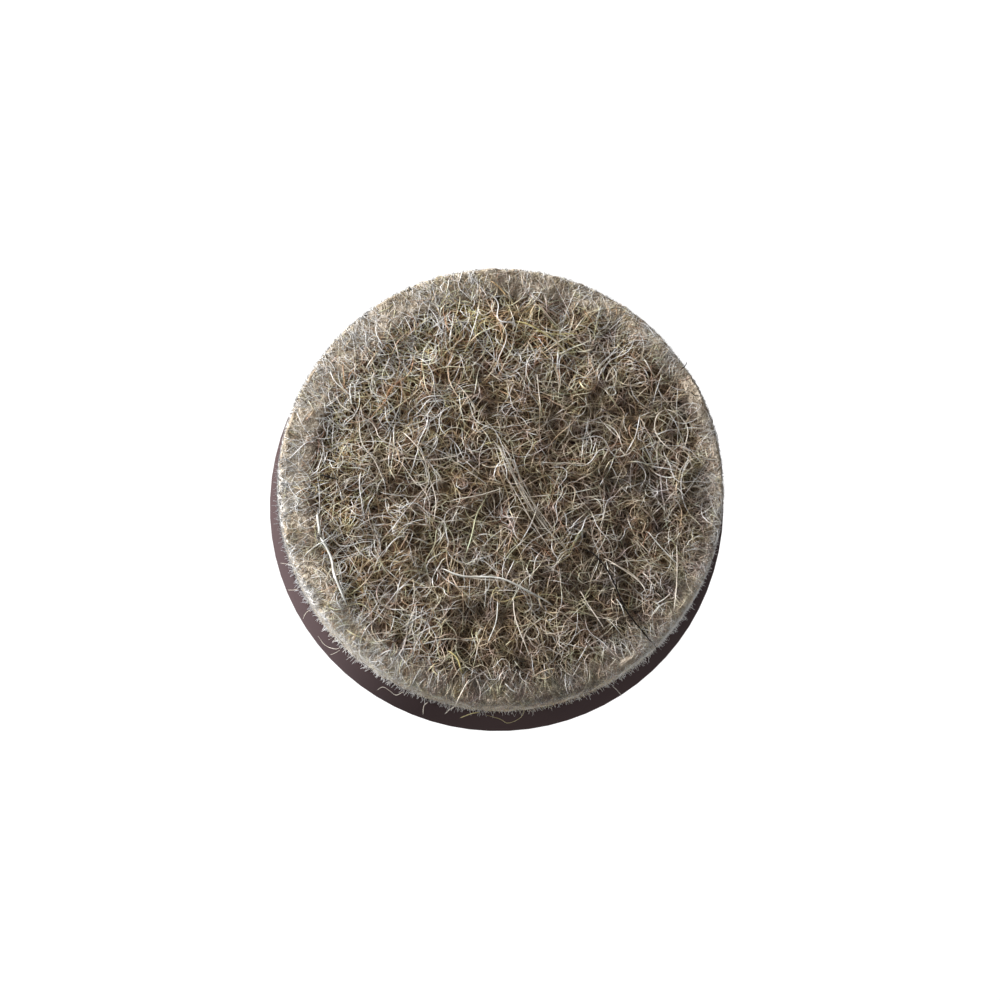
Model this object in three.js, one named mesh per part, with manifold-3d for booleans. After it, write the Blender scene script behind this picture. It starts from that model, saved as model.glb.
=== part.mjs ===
// Felt furniture glide. A moulded plastic shell carries a thick felt pad in a shallow recess, and a
// wire nail through the middle of the shell is driven into the end of a furniture leg.
// Millimetres, +Z up, with the felt on top. The origin is the middle of the seat plane, where the
// back of the shell lies against the leg.

import * as THREE from "three";
import { mergeVertices } from "three/addons/utils/BufferGeometryUtils.js";
import Module from "manifold-3d";

const wasm = await Module();
wasm.setup();

// Shell, outside
const SHELL_DIAMETER = 28.0; // at the foot of the flank, its widest
const SHELL_HEIGHT = 5.0; // seat plane to lip
const BACK_EDGE_RADIUS = 0.8;
const FLANK_TAPER = 0.35; // how far the bowed flank draws in on each side on its way to the lip

// Shell, recess for the felt
const LIP_WIDTH = 0.65;
const LIP_EDGE_RADIUS = 0.3;
const LIP_LEAD_IN = 0.15; // chamfer that guides the felt in
const RECESS_DEPTH = 1.2;
const FLOOR_THICKNESS = 1.2;

// Shell, coring of the back
const RIM_WALL = 1.8;
const BOSS_WALL = 1.1; // plastic around the nail head
const RIB_COUNT = 6;
const RIB_THICKNESS = 1.1;
const POCKET_CORNER_RADIUS = 0.7;
const POCKET_FLOOR_RADIUS = 0.4;

// Felt pad, and the film of hot-melt glue under it
const FELT_THICKNESS = 4.0;
const FELT_CLEARANCE = 0.1; // to the wall of the recess
const FELT_OVERHANG = 0.55; // how far the felt spreads over the lip
const FELT_BULGE = 0.1;
const FELT_EDGE_RADIUS = 0.5;
const GLUE_THICKNESS = 0.2;
const GLUE_MARGIN = 0.3; // from the edge of the film to the edge of the felt

// Nail
const NAIL_DIAMETER = 2.0;
const NAIL_LENGTH = 20.0; // top of the head to the tip
const NAIL_POINT_LENGTH = 3.2;
const NAIL_CLEARANCE = 0.1; // all round, in the shell
const HEAD_DIAMETER = 5.6;
const HEAD_THICKNESS = 0.9;
const HEAD_EDGE = 0.15; // chamfer on both edges of the head
const HEAD_SUNK = 0.1; // below the floor of the recess
const GRIP_COUNT = 4; // rings rolled into the shank, which key it into the shell
const GRIP_PITCH = 0.5;
const GRIP_DEPTH = 0.12;
const GRIP_START = 0.3; // from the underside of the head

// Fineness of the facets
const ROUND_SIDES = 72;
const NAIL_SIDES = 24;
const POCKET_ARC_STEPS = 7;
const CUT_MARGIN = 1.0; // how far a cutting solid reaches past what it cuts

// Radii and heights that follow from the sizes above
const shellRadius = SHELL_DIAMETER / 2;
const lipRadius = shellRadius - FLANK_TAPER;
const recessRadius = lipRadius - LIP_WIDTH;
const shankRadius = NAIL_DIAMETER / 2;
const headRadius = HEAD_DIAMETER / 2;
const boreRadius = shankRadius + NAIL_CLEARANCE;
const headSeatRadius = headRadius + NAIL_CLEARANCE;
const recessFloorZ = SHELL_HEIGHT - RECESS_DEPTH;
const pocketTopZ = recessFloorZ - FLOOR_THICKNESS;
const headTopZ = recessFloorZ - HEAD_SUNK;
const headSeatZ = headTopZ - HEAD_THICKNESS;
const feltBaseZ = recessFloorZ + GLUE_THICKNESS;
const feltBaseRadius = recessRadius - FELT_CLEARANCE;
const feltSideRadius = recessRadius + FELT_OVERHANG;

const QUARTER_TURN = Math.PI / 2;
const FULL_TURN = 2 * Math.PI;

/** Points along a circular arc of a profile, with both ends. */
function arcPoints(centreX, centreY, radius, from, to, steps) {
  const points = [];
  for (let i = 0; i <= steps; i += 1) {
    const angle = from + ((to - from) * i) / steps;
    const x = centreX + radius * Math.cos(angle);
    const y = centreY + radius * Math.sin(angle);
    points.push(new THREE.Vector2(x, y));
  }
  return points;
}

function point(radius, height) {
  return new THREE.Vector2(radius, height);
}

/** Turns a profile of radius and height about +Z. It runs out along the bottom and in along the top. */
function turned(profile, sides) {
  return new THREE.LatheGeometry(profile, sides).rotateX(QUARTER_TURN);
}

/** The solid inside a closed geometry, with its seams welded and its empty triangles left out. */
function solidFrom(geometry) {
  const bare = geometry.clone();
  bare.deleteAttribute("normal");
  bare.deleteAttribute("uv");
  const welded = mergeVertices(bare);
  const corners = welded.index.array;
  const kept = [];
  for (let i = 0; i < corners.length; i += 3) {
    const [a, b, c] = corners.subarray(i, i + 3);
    if (a !== b && b !== c && c !== a) {
      kept.push(a, b, c);
    }
  }
  const vertProperties = new Float32Array(welded.attributes.position.array);
  const triVerts = new Uint32Array(kept);
  return new wasm.Manifold(new wasm.Mesh({ numProp: 3, vertProperties, triVerts }));
}

function geometryFrom(solid) {
  const mesh = solid.getMesh();
  const geometry = new THREE.BufferGeometry();
  geometry.setAttribute("position", new THREE.BufferAttribute(mesh.vertProperties, 3));
  geometry.setIndex(new THREE.BufferAttribute(mesh.triVerts, 1));
  geometry.computeVertexNormals();
  return geometry;
}

/**
 * Half section of the shell, closed on itself around the bore. The flank is one shallow arc, upright
 * where it leaves the rounded back edge and tangent to the round of the lip. With its centre level
 * with the end of the back edge, the distance q between the two arcs' centres follows from
 * (d - q)^2 + h^2 = q^2, where d is the step in radius and h the height between those centres.
 */
function shellProfile() {
  const lipCentreZ = SHELL_HEIGHT - LIP_EDGE_RADIUS;
  const rise = lipCentreZ - BACK_EDGE_RADIUS;
  const betweenCentres = (FLANK_TAPER ** 2 + rise ** 2) / (2 * FLANK_TAPER);
  const flankRadius = betweenCentres + LIP_EDGE_RADIUS;
  const lean = Math.asin(rise / betweenCentres);
  const backCentre = shellRadius - BACK_EDGE_RADIUS;
  const flankCentre = shellRadius - flankRadius;
  const lipCentre = lipRadius - LIP_EDGE_RADIUS;
  const lipRound = arcPoints(lipCentre, lipCentreZ, LIP_EDGE_RADIUS, lean, QUARTER_TURN, 4);
  return [
    point(boreRadius, 0),
    ...arcPoints(backCentre, BACK_EDGE_RADIUS, BACK_EDGE_RADIUS, -QUARTER_TURN, 0, 5),
    ...arcPoints(flankCentre, BACK_EDGE_RADIUS, flankRadius, 0, lean, 6).slice(1, -1),
    ...lipRound,
    point(recessRadius + LIP_LEAD_IN, SHELL_HEIGHT),
    point(recessRadius, SHELL_HEIGHT - LIP_LEAD_IN),
    point(recessRadius, recessFloorZ),
    point(headSeatRadius, recessFloorZ),
    point(headSeatRadius, headSeatZ),
    point(boreRadius, headSeatZ),
    point(boreRadius, 0),
  ];
}

/**
 * Outline of one pocket of the back: the field between two ribs, the boss and the rim wall, with
 * round corners. The first rib lies along +X. A corner's centre keeps the corner radius to the side
 * of the rib and to the arc, so it is found at a known height and a known distance from the middle.
 */
function pocketOutline() {
  const corner = POCKET_CORNER_RADIUS;
  const span = FULL_TURN / RIB_COUNT;
  const outer = shellRadius - RIM_WALL;
  const inner = headSeatRadius + BOSS_WALL;
  const height = RIB_THICKNESS / 2 + corner;
  const outerAngle = Math.asin(height / (outer - corner));
  const innerAngle = Math.asin(height / (inner + corner));
  const outline = new THREE.Shape();
  const round = (distance, angle, from, to) => {
    const x = distance * Math.cos(angle);
    const y = distance * Math.sin(angle);
    outline.absarc(x, y, corner, from, to, false);
  };
  round(outer - corner, outerAngle, -QUARTER_TURN, outerAngle);
  outline.absarc(0, 0, outer, outerAngle, span - outerAngle, false);
  round(outer - corner, span - outerAngle, span - outerAngle, span + QUARTER_TURN);
  round(inner + corner, span - innerAngle, span + QUARTER_TURN, span - innerAngle + Math.PI);
  outline.absarc(0, 0, inner, span - innerAngle, innerAngle, true);
  round(inner + corner, innerAngle, innerAngle + Math.PI, FULL_TURN - QUARTER_TURN);
  return outline;
}

/** The space of one pocket, from below the seat plane up to its rounded floor. */
function pocketGeometry() {
  const geometry = new THREE.ExtrudeGeometry(pocketOutline(), {
    depth: CUT_MARGIN + pocketTopZ - POCKET_FLOOR_RADIUS,
    curveSegments: POCKET_ARC_STEPS,
    bevelEnabled: true,
    bevelThickness: POCKET_FLOOR_RADIUS,
    bevelSize: POCKET_FLOOR_RADIUS,
    bevelOffset: -POCKET_FLOOR_RADIUS,
    bevelSegments: 2,
  });
  return geometry.translate(0, 0, -CUT_MARGIN);
}

function shellGeometry() {
  let shell = solidFrom(turned(shellProfile(), ROUND_SIDES));
  for (let i = 0; i < RIB_COUNT; i += 1) {
    const pocket = pocketGeometry().rotateZ((FULL_TURN * i) / RIB_COUNT);
    shell = shell.subtract(solidFrom(pocket));
  }
  return geometryFrom(shell);
}

/** The pad from its own glued face up: a neck in the recess, then a bowed side and a flat top. */
function feltGeometry() {
  const lipZ = SHELL_HEIGHT - feltBaseZ;
  const edgeZ = FELT_THICKNESS - FELT_EDGE_RADIUS;
  const halfSide = (edgeZ - lipZ) / 2;
  const bowRadius = (halfSide ** 2 + FELT_BULGE ** 2) / (2 * FELT_BULGE);
  const bow = Math.asin(halfSide / bowRadius);
  const bowCentre = feltSideRadius + FELT_BULGE - bowRadius;
  const edgeCentre = feltSideRadius - FELT_EDGE_RADIUS;
  const side = arcPoints(bowCentre, lipZ + halfSide, bowRadius, -bow, bow, 4);
  const edge = arcPoints(edgeCentre, edgeZ, FELT_EDGE_RADIUS, 0, QUARTER_TURN, 4);
  const profile = [
    point(0, 0),
    point(feltBaseRadius, 0),
    point(feltBaseRadius, lipZ),
    ...side,
    ...edge.slice(1),
    point(0, FELT_THICKNESS),
  ];
  return turned(profile, ROUND_SIDES);
}

function glueGeometry() {
  const radius = feltBaseRadius - GLUE_MARGIN;
  const profile = [
    point(0, 0),
    point(radius, 0),
    point(radius, GLUE_THICKNESS),
    point(0, GLUE_THICKNESS),
  ];
  return turned(profile, ROUND_SIDES);
}

/** Half section of the nail from its blunt end up, with the top of the head at height 0. */
function nailProfile() {
  const underHead = -HEAD_THICKNESS;
  const profile = [point(0, -NAIL_LENGTH), point(shankRadius, -NAIL_LENGTH)];
  for (let i = GRIP_COUNT; i > 0; i -= 1) {
    const grooveZ = underHead - GRIP_START - (i - 0.5) * GRIP_PITCH;
    profile.push(point(shankRadius, grooveZ - GRIP_DEPTH));
    profile.push(point(shankRadius - GRIP_DEPTH, grooveZ));
    profile.push(point(shankRadius, grooveZ + GRIP_DEPTH));
  }
  profile.push(
    point(shankRadius, underHead),
    point(headRadius - HEAD_EDGE, underHead),
    point(headRadius, underHead + HEAD_EDGE),
    point(headRadius, -HEAD_EDGE),
    point(headRadius - HEAD_EDGE, 0),
    point(0, 0),
  );
  return profile;
}

/**
 * The nail with its diamond point. The flats of a four-sided pyramid reach the full width of the
 * shank at the length of the point, and a sleeve round that stretch, less the pyramid, is what the
 * point cutters take away.
 */
function nailGeometry() {
  const reach = NAIL_POINT_LENGTH + CUT_MARGIN;
  const flat = (shankRadius * reach) / NAIL_POINT_LENGTH;
  const pyramid = new THREE.ConeGeometry(flat * Math.SQRT2, reach, 4);
  pyramid.rotateX(-QUARTER_TURN).translate(0, 0, reach / 2 - NAIL_LENGTH);
  const sleeveProfile = [
    point(0, -NAIL_LENGTH - CUT_MARGIN),
    point(shankRadius + CUT_MARGIN, -NAIL_LENGTH - CUT_MARGIN),
    point(shankRadius + CUT_MARGIN, NAIL_POINT_LENGTH - NAIL_LENGTH),
    point(0, NAIL_POINT_LENGTH - NAIL_LENGTH),
  ];
  const sleeve = solidFrom(turned(sleeveProfile, NAIL_SIDES));
  const waste = sleeve.subtract(solidFrom(pyramid));
  const blank = solidFrom(turned(nailProfile(), NAIL_SIDES));
  return geometryFrom(blank.subtract(waste));
}

const brownPlastic = new THREE.MeshStandardMaterial({
  color: 0x38291f,
  roughness: 0.42,
  metalness: 0,
});
const woolFelt = new THREE.MeshStandardMaterial({
  color: 0x8c7a62,
  roughness: 1,
  metalness: 0,
});
const brightSteel = new THREE.MeshStandardMaterial({
  color: 0xb4b6b8,
  roughness: 0.32,
  metalness: 1,
});
const hotMelt = new THREE.MeshStandardMaterial({
  color: 0xd9cda6,
  roughness: 0.5,
  metalness: 0,
});

const glide = new THREE.Group();

/** Adds one named piece, lifted to the height where it sits. */
function place(name, geometry, material, z) {
  const mesh = new THREE.Mesh(geometry, material);
  mesh.name = name;
  mesh.position.z = z;
  glide.add(mesh);
}

place("shell", shellGeometry(), brownPlastic, 0);
place("glue_film", glueGeometry(), hotMelt, recessFloorZ);
place("felt_pad", feltGeometry(), woolFelt, feltBaseZ);
place("nail", nailGeometry(), brightSteel, headTopZ);

export default glide;
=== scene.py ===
"""Looks of a felt furniture glide: a satin brown moulded shell, a pad of coarse wool and goat hair felt
with its cut edge and stray hairs, and a bright wire nail. Metres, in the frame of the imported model."""

import math

import bmesh
import bpy
import numpy as np
from mathutils import Matrix, Vector


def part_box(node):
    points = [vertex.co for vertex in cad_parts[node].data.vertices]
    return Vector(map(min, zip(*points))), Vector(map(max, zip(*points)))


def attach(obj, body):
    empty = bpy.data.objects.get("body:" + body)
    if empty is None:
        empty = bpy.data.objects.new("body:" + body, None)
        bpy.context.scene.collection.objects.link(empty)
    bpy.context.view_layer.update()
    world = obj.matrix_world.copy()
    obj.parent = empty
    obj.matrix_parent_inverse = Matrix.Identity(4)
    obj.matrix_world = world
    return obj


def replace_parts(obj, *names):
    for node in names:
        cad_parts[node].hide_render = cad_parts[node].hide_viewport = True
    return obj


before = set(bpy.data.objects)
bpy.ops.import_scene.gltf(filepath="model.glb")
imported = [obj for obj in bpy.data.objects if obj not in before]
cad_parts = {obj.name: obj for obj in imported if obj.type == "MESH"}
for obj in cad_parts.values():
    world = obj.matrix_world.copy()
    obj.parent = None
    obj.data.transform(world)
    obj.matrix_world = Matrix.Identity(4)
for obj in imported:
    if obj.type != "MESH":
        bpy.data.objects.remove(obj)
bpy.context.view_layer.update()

MM = 0.001
ROOT = "root"
UP = np.array((0.0, 0.0, 1.0))

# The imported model's own sizes
PAD_LOW, PAD_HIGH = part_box("felt_pad")
SHELL_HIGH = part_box("shell")[1]
PAD_TOP = PAD_HIGH.z
PAD_RADIUS = PAD_HIGH.x
LIP_TOP = SHELL_HIGH.z
FLOOR_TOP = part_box("nail")[0].z  # the floor is level with the nail's tip

# Camera
CAMERA_ELEVATION = math.radians(78.3)
CAMERA_ROLL = math.radians(12.0)
CAMERA_DISTANCE = 350 * MM
FRAME_WIDTH = 60.6 * MM  # what the picture's width spans at the top of the pad
PICTURE_SIZE = 1000
PAD_CENTRE_PIXEL = (501.4, 484.0)  # where the middle of the pad's top lies in the photograph

# Felt
FELT_TOP = PAD_TOP - 0.05 * MM  # mean height of the felt's face
WALL_RADIUS = PAD_RADIUS - 0.11 * MM  # cut side of the felt, without the hair ends that stand out of it
EDGE_ROUND = 0.3 * MM
CORE_UNDER = 0.10 * MM  # from the felt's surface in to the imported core, at the rim
CORE_DEPTH = 0.42 * MM  # the same in the face of the felt, where loose hairs lie on it
LUMP_HEIGHT = 0.1 * MM
HAIR_RADIUS = 0.016 * MM
CUT_END_RADIUS = 0.013 * MM
HAIR_BEND = 0.3 / MM  # spread of the steady curvature of the hairs
HAIR_CRIMP = 0.75 / MM  # spread of the curvature of their waves
TIGHTEST_CURL = 2.8 / MM
HAIR_LIFT = 0.34 * MM  # from the felt's face up to the hairs that stand out in the photograph
LAMP_SIDE = np.array((-0.95, 0.31, 0.0))  # the side of the key and low lamps: towards it more hair ends stand up, the loose hairs are painted paler (painted light) and the cut edge darker (painted shade)
LAMP_SIDE_PAINTED_LIGHT = 0.56  # how much paler the loose hairs are painted towards the lamp side: painted light
SHADED_SIDE = np.array((0.37, -0.93, 0.0))  # the side in the shade of the key and low lamps: towards it the pale ring and pile fade out, as painted shade, and the cut side is painted paler low down, as painted light
PALE_RIM = 1.6 * MM  # width of the ring at the rim in which the loose hairs turn paler
BAND_WIDTH = 0.2 * MM  # least width of the band of short pile on the face, inside the rim
BAND_SPREAD = 0.7 * MM  # what the band gains for each step of one towards the lamp side
BAKE_MAP = "OFBake"

# Layers of loose hairs: depths under the felt's face, lengths, and then for each layer its name, seed, count,
# depths, lengths, radius as a share of HAIR_RADIUS, level of colour and points per hair. The deeper layers
# have lower levels: painted shade between the hairs
TOP = 0.0
HIGH = 0.18 * MM
LOW = 0.40 * MM
DEEP = 0.62 * MM
OVERLAP = 0.1 * MM
FINE_DEPTH = (TOP, 0.34 * MM)
FINE_LENGTH = (0.9 * MM, 2.8 * MM)
LAYERS = (
    ("felt_hairs_low", 12, 1550, (LOW - OVERLAP, DEEP), (2.4 * MM, 5.5 * MM), 1.15, 0.85, 13),
    ("felt_hairs_middle", 13, 1750, (HIGH - OVERLAP, LOW), (2.4 * MM, 5.5 * MM), 1.05, 1.3, 15),
    ("felt_hairs_upper", 14, 1250, (TOP, HIGH), (2.4 * MM, 6.0 * MM), 1.15, 1.95, 15),
    ("felt_hairs_fine", 11, 2500, FINE_DEPTH, FINE_LENGTH, 0.80, 1.55, 9),
    ("felt_hairs_finer", 17, 2500, FINE_DEPTH, FINE_LENGTH, 0.76, 1.55, 9),
)


def linear(red, green, blue):
    """Scene-linear colour of a colour as it is seen on a screen."""
    seen = np.array((red, green, blue), float)
    return np.where(seen <= 0.04045, seen / 12.92, ((seen + 0.055) / 1.055) ** 2.4)


# Hairs of the felt: colour as seen, and share of the mix
HAIR_MIX = {
    "white": (linear(0.90, 0.87, 0.825), 0.06),
    "cream": (linear(0.815, 0.775, 0.72), 0.20),
    "beige": (linear(0.70, 0.65, 0.588), 0.26),
    "grey": (linear(0.605, 0.57, 0.53), 0.15),
    "tan": (linear(0.56, 0.50, 0.435), 0.15),
    "straw": (linear(0.66, 0.61, 0.49), 0.014),
    "green_grey": (linear(0.56, 0.56, 0.48), 0.06),
    "brown": (linear(0.38, 0.305, 0.245), 0.08),
    "rust": (linear(0.44, 0.325, 0.25), 0.01),
    "dark_brown": (linear(0.20, 0.145, 0.11), 0.035),
}
PILE = linear(0.835, 0.77, 0.70)  # the short ends at the rim

# How the colours of the hairs vary. A spread counts from hair to hair or along a field, and a rise
# or fall is a share of the level
RING_PALING = 0.35  # how far hairs in the pale ring are drawn towards the pile's colour
SHADED_SIDE_PALING_FALL = 0.8  # of that, towards the shaded side: painted shade
OWN_SPREAD = 0.34
TUFT_SPREAD = 0.18
CLUMP_SPREAD = 0.12
PATCH_SPREAD = 0.13
WARM_SPREAD = 0.03
GREEN_SPREAD = 0.02
CHANCE_SPREAD = 0.012  # of warmth and greenness from hair to hair
WARMER = np.array((0.8, 0.0, -1.4))
GREENER = np.array((-0.6, 1.0, -0.8))
SHADE_DEPTH = 0.5 * MM  # depth at which the painted shade on the hairs is deepest, and they are as dark and brown as they get
# share of a hair's light taken off at that depth: painted shade
DEEP_PAINTED_SHADE = 0.88
DEEP_WARMTH = 0.34
FACE_LEVEL = 1.17
OUTER_RISE = 0.46  # from the middle of the face to its rim
RING_RISE = 0.35  # through the pale ring
EDGE_RISE = 0.6  # at its very edge
SHADED_SIDE_PAINTED_SHADE = 0.95  # of the pale ring, towards the shaded side: painted shade
GAIN_RANGE = (0.3, 2.0)
DARKEST = 0.003
LIGHTEST = 0.95

# Lamps: name, place, side of the square, and power in watts
LAMPS = (
    ("key", (-0.47, 0.33, 0.36), 0.45, 3.6),
    ("low", (-0.49, 0.13, 0.10), 0.2, 6.8),
    ("fill", (0.16, -0.5, 0.2), 0.35, 1.05),
)
WORLD_STRENGTH = 0.16
FLOOR_HALF = 3.0  # half the side of the square floor
FLOOR_GREY = 0.20
FLOOR_GLOW = 0.9  # how bright the floor is to the camera near the glide
FAR_GLOW = 1.0  # the same further out
GLOW_NEAR = 0.06  # distances from the origin between which the glow grows
GLOW_FAR = 0.3

# Edges of the rigid pieces
WELD_DISTANCE = 1e-7
SHARP_ANGLE = math.radians(32)

# Hairs that stand out in the photograph: name, points along it in the photograph's pixels, radius in
# mm, and colour
KEMP = linear(0.84, 0.845, 0.825)
PALE = linear(0.88, 0.85, 0.80)
STRAW = linear(0.80, 0.75, 0.52)
BLACK = linear(0.10, 0.085, 0.08)
LONG_HAIRS = (
    ("kemp_left_upper", ((317, 513), (319, 525), (320, 534)), 0.115, KEMP),
    ("kemp_left_lower", ((320, 536), (327, 548), (332, 560), (334, 573), (340, 588), (347, 604)), 0.10, KEMP),
    ("kemp_hairpin_left", ((351, 382), (350, 392), (352, 404)), 0.045, KEMP),
    ("kemp_hairpin_right", ((351, 382), (355, 386), (355, 400)), 0.040, KEMP),
    ("pale_left", ((303, 557), (313, 548), (324, 541), (334, 533)), 0.036, KEMP),
    ("pale_sweep", ((441, 567), (462, 576), (500, 578), (530, 592), (553, 604)), 0.073, KEMP),
    ("pale_sweep_twin", ((447, 571), (478, 579), (506, 580)), 0.031, PALE),
    ("pale_v_left", ((402, 430), (421, 452), (430, 478)), 0.036, PALE),
    ("pale_v_right", ((430, 478), (436, 500), (434, 520)), 0.034, PALE),
    ("pale_level", ((400, 457), (430, 460), (460, 455)), 0.036, PALE),
    ("pale_short", ((450, 500), (480, 495), (505, 487)), 0.034, PALE),
    ("straw_top", ((516, 320), (532, 326), (550, 337), (570, 352)), 0.052, STRAW),
    ("straw_top_fine", ((524, 324), (545, 333), (572, 356)), 0.031, PALE),
    ("straw_low", ((448, 650), (457, 658), (462, 672)), 0.044, STRAW),
    ("ginger_top", ((491, 280), (500, 288), (508, 297)), 0.044, linear(0.82, 0.70, 0.52)),
    ("white_low_a", ((498, 600), (496, 622), (488, 642)), 0.039, KEMP),
    ("white_low_b", ((513, 596), (516, 620), (530, 656)), 0.039, PALE),
    ("hook_low", ((505, 683), (512, 690), (517, 692)), 0.039, KEMP),
    ("bow_low", ((470, 678), (463, 690), (455, 706)), 0.039, PALE),
    ("pale_high_a", ((367, 315), (389, 333), (396, 346), (399, 359)), 0.036, PALE),
    ("pale_high_b", ((340, 360), (353, 372), (377, 387)), 0.036, PALE),
    ("pale_side_a", ((359, 420), (362, 443), (375, 461), (385, 484)), 0.034, PALE),
    ("pale_side_b", ((336, 394), (343, 407), (372, 423), (380, 438), (399, 448)), 0.034, PALE),
    ("pale_side_c", ((385, 405), (387, 420), (394, 428)), 0.034, KEMP),
    ("pale_hook", ((399, 458), (414, 481), (419, 485), (428, 481), (426, 475), (414, 475)), 0.031, PALE),
    ("pale_curve", ((477, 305), (482, 315), (492, 310), (495, 298)), 0.031, PALE),
    ("pale_right_a", ((647, 530), (661, 547), (680, 566)), 0.036, KEMP),
    ("pale_right_b", ((604, 557), (624, 570), (640, 582), (647, 593)), 0.039, PALE),
    ("pale_right_c", ((609, 562), (628, 571), (643, 584)), 0.029, PALE),
    ("pale_right_d", ((580, 590), (590, 607), (605, 629)), 0.039, PALE),
    ("pale_right_e", ((677, 543), (677, 580), (674, 612)), 0.034, PALE),
    ("pale_right_f", ((616, 598), (621, 605), (625, 616)), 0.034, KEMP),
    ("loop_right", ((666, 408), (657, 416), (655, 430), (664, 444), (680, 455)), 0.031, PALE),
    ("loop_right_far", ((666, 408), (680, 416), (688, 430), (684, 450)), 0.031, PALE),
    ("loop_small", ((605, 388), (609, 395), (616, 393), (612, 387), (606, 389)), 0.029, KEMP),
    ("pale_top_right", ((620, 364), (614, 377), (606, 381), (612, 368), (620, 364)), 0.031, PALE),
    ("straw_top_low", ((534, 330), (555, 334), (580, 333)), 0.034, STRAW),
    ("pale_mid_top", ((537, 372), (539, 393), (541, 408)), 0.034, PALE),
    ("stray_left", ((298, 589), (293, 590), (288, 590)), 0.022, PALE),
    ("stray_left_high", ((280, 563), (287, 564), (293, 566)), 0.016, PALE),
    ("stray_low_left_a", ((311, 609), (306, 613), (303, 619)), 0.020, PALE),
    ("stray_low_left_b", ((318, 636), (325, 645), (335, 649), (341, 647)), 0.018, PALE),
    ("stray_low_left_c", ((340, 650), (335, 653), (330, 655)), 0.020, PALE),
    ("stray_low_left_d", ((377, 690), (383, 687), (390, 691), (396, 695), (403, 692)), 0.020, PALE),
    ("stray_low_c", ((428, 702), (424, 706), (423, 715)), 0.024, PALE),
    ("stray_low_d", ((457, 705), (449, 710), (445, 714)), 0.028, PALE),
    ("stray_low_e", ((480, 712), (470, 714), (460, 718)), 0.032, STRAW),
    ("stray_loop", ((486, 715), (500, 719), (508, 723), (520, 718), (524, 710), (520, 702)), 0.020, STRAW),
    ("stray_right", ((612, 686), (617, 690), (622, 696)), 0.020, PALE),
)
BLACK_PATH = ((582, 548), (593, 553), (604, 565), (611, 576), (618, 592), (626, 610), (640, 628), (658, 649))
DARK_HAIRS = (
    ("black_left", ((320, 474), (329, 477), (338, 479)), 0.055, BLACK),
    ("black_long", BLACK_PATH, 0.055, BLACK),
    ("black_short", ((653, 588), (658, 593), (664, 598)), 0.03, BLACK),
    ("black_rim_a", ((680, 370), (685, 366), (687, 362)), 0.030, BLACK),
    ("black_rim_b", ((689, 391), (695, 395), (701, 396)), 0.028, BLACK),
    ("black_top", ((559, 341), (571, 347), (584, 358)), 0.026, BLACK),
)
# Soft patches of the felt: middle in the photograph's pixels, radius in mm, and how much lighter and
# warmer the hairs are there
SOFT_PATCHES = (
    ("warm_top", (470, 300), 2.9, -0.28, 0.11),
    ("pale_top_right", (620, 352), 2.6, 0.2, -0.03),
    ("pale_upper_middle", (530, 376), 2.0, 0.25, -0.02),
    ("pale_top_left", (355, 395), 2.6, 0.14, 0.01),
    ("pale_left", (321, 445), 2.0, 0.14, -0.02),
    ("dark_right", (598, 440), 2.3, -0.26, -0.03),
    ("cool_right", (640, 500), 4.0, 0.0, -0.045),
    ("pale_right", (638, 508), 2.0, 0.28, 0.0),
    ("cool_low_right", (610, 590), 3.4, -0.06, -0.04),
    ("dark_bottom", (540, 655), 3.0, -0.24, -0.02),
    ("dark_low_left", (446, 648), 2.2, -0.2, 0.03),
)
# A lock of nearly parallel pale hairs
LOCK_PATH = ((500, 440), (511, 463), (524, 490), (545, 523), (566, 551))
LOCK_HAIRS = 8


class Waves:
    """A smooth random field. It is a sum of plane waves with random directions, phases and lengths
    near one wavelength, scaled to a spread of one."""

    def __init__(self, rng, wavelength, count=24):
        heading = rng.standard_normal((count, 3))
        heading /= np.linalg.norm(heading, axis=1, keepdims=True)
        self.wave = heading * 2 * np.pi / (wavelength * rng.uniform(0.6, 1.7, (count, 1)))
        self.phase = rng.uniform(0, 2 * np.pi, count)

    def __call__(self, points):
        return np.sin(points @ self.wave.T + self.phase).sum(-1) * math.sqrt(2 / len(self.phase))


# Fields that the lumps of the felt and the colours of its hairs follow
field_rng = np.random.default_rng(7)
lumps = Waves(field_rng, 2.6 * MM)
clumps = Waves(field_rng, 1.5 * MM)
tufts = Waves(field_rng, 0.7 * MM)
patches = Waves(field_rng, 5.0 * MM)
warmth = Waves(field_rng, 2.2 * MM)
greenness = Waves(field_rng, 1.3 * MM)


def band_width(outward):
    """Width of the band of short pile on the face at the rim, broad towards the lamp side."""
    return BAND_WIDTH + BAND_SPREAD * (1 + outward @ LAMP_SIDE)


def felt_height(x, y):
    """Height of the felt's upper surface: lumpy, and rounded off by a quarter circle at the rim."""
    flat = np.stack((x, y, np.zeros_like(x)), axis=-1)
    over = np.clip((np.hypot(x, y) - (WALL_RADIUS - EDGE_ROUND)) / EDGE_ROUND, 0, 1)
    lumpy = LUMP_HEIGHT * lumps(flat) * (1 - over)
    return FELT_TOP + lumpy - EDGE_ROUND * (1 - np.sqrt(1 - over**2))


def mesh_from_arrays(name, points, corners, smooth=True):
    """A mesh of triangles from point and corner arrays."""
    mesh = bpy.data.meshes.new(name)
    mesh.vertices.add(len(points))
    mesh.vertices.foreach_set("co", points.astype(np.float32).ravel())
    mesh.loops.add(corners.size)
    mesh.loops.foreach_set("vertex_index", corners.astype(np.int32).ravel())
    mesh.polygons.add(len(corners))
    mesh.polygons.foreach_set("loop_start", np.arange(0, corners.size, 3, dtype=np.int32))
    mesh.polygons.foreach_set("use_smooth", np.full(len(corners), smooth))
    mesh.update(calc_edges=True)
    return mesh


def add_piece(name, mesh, material):
    """Puts a finished mesh into the scene as a piece of the glide."""
    piece = bpy.data.objects.new(name, mesh)
    bpy.context.scene.collection.objects.link(piece)
    mesh.materials.append(material)
    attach(piece, ROOT)
    return piece


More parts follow.
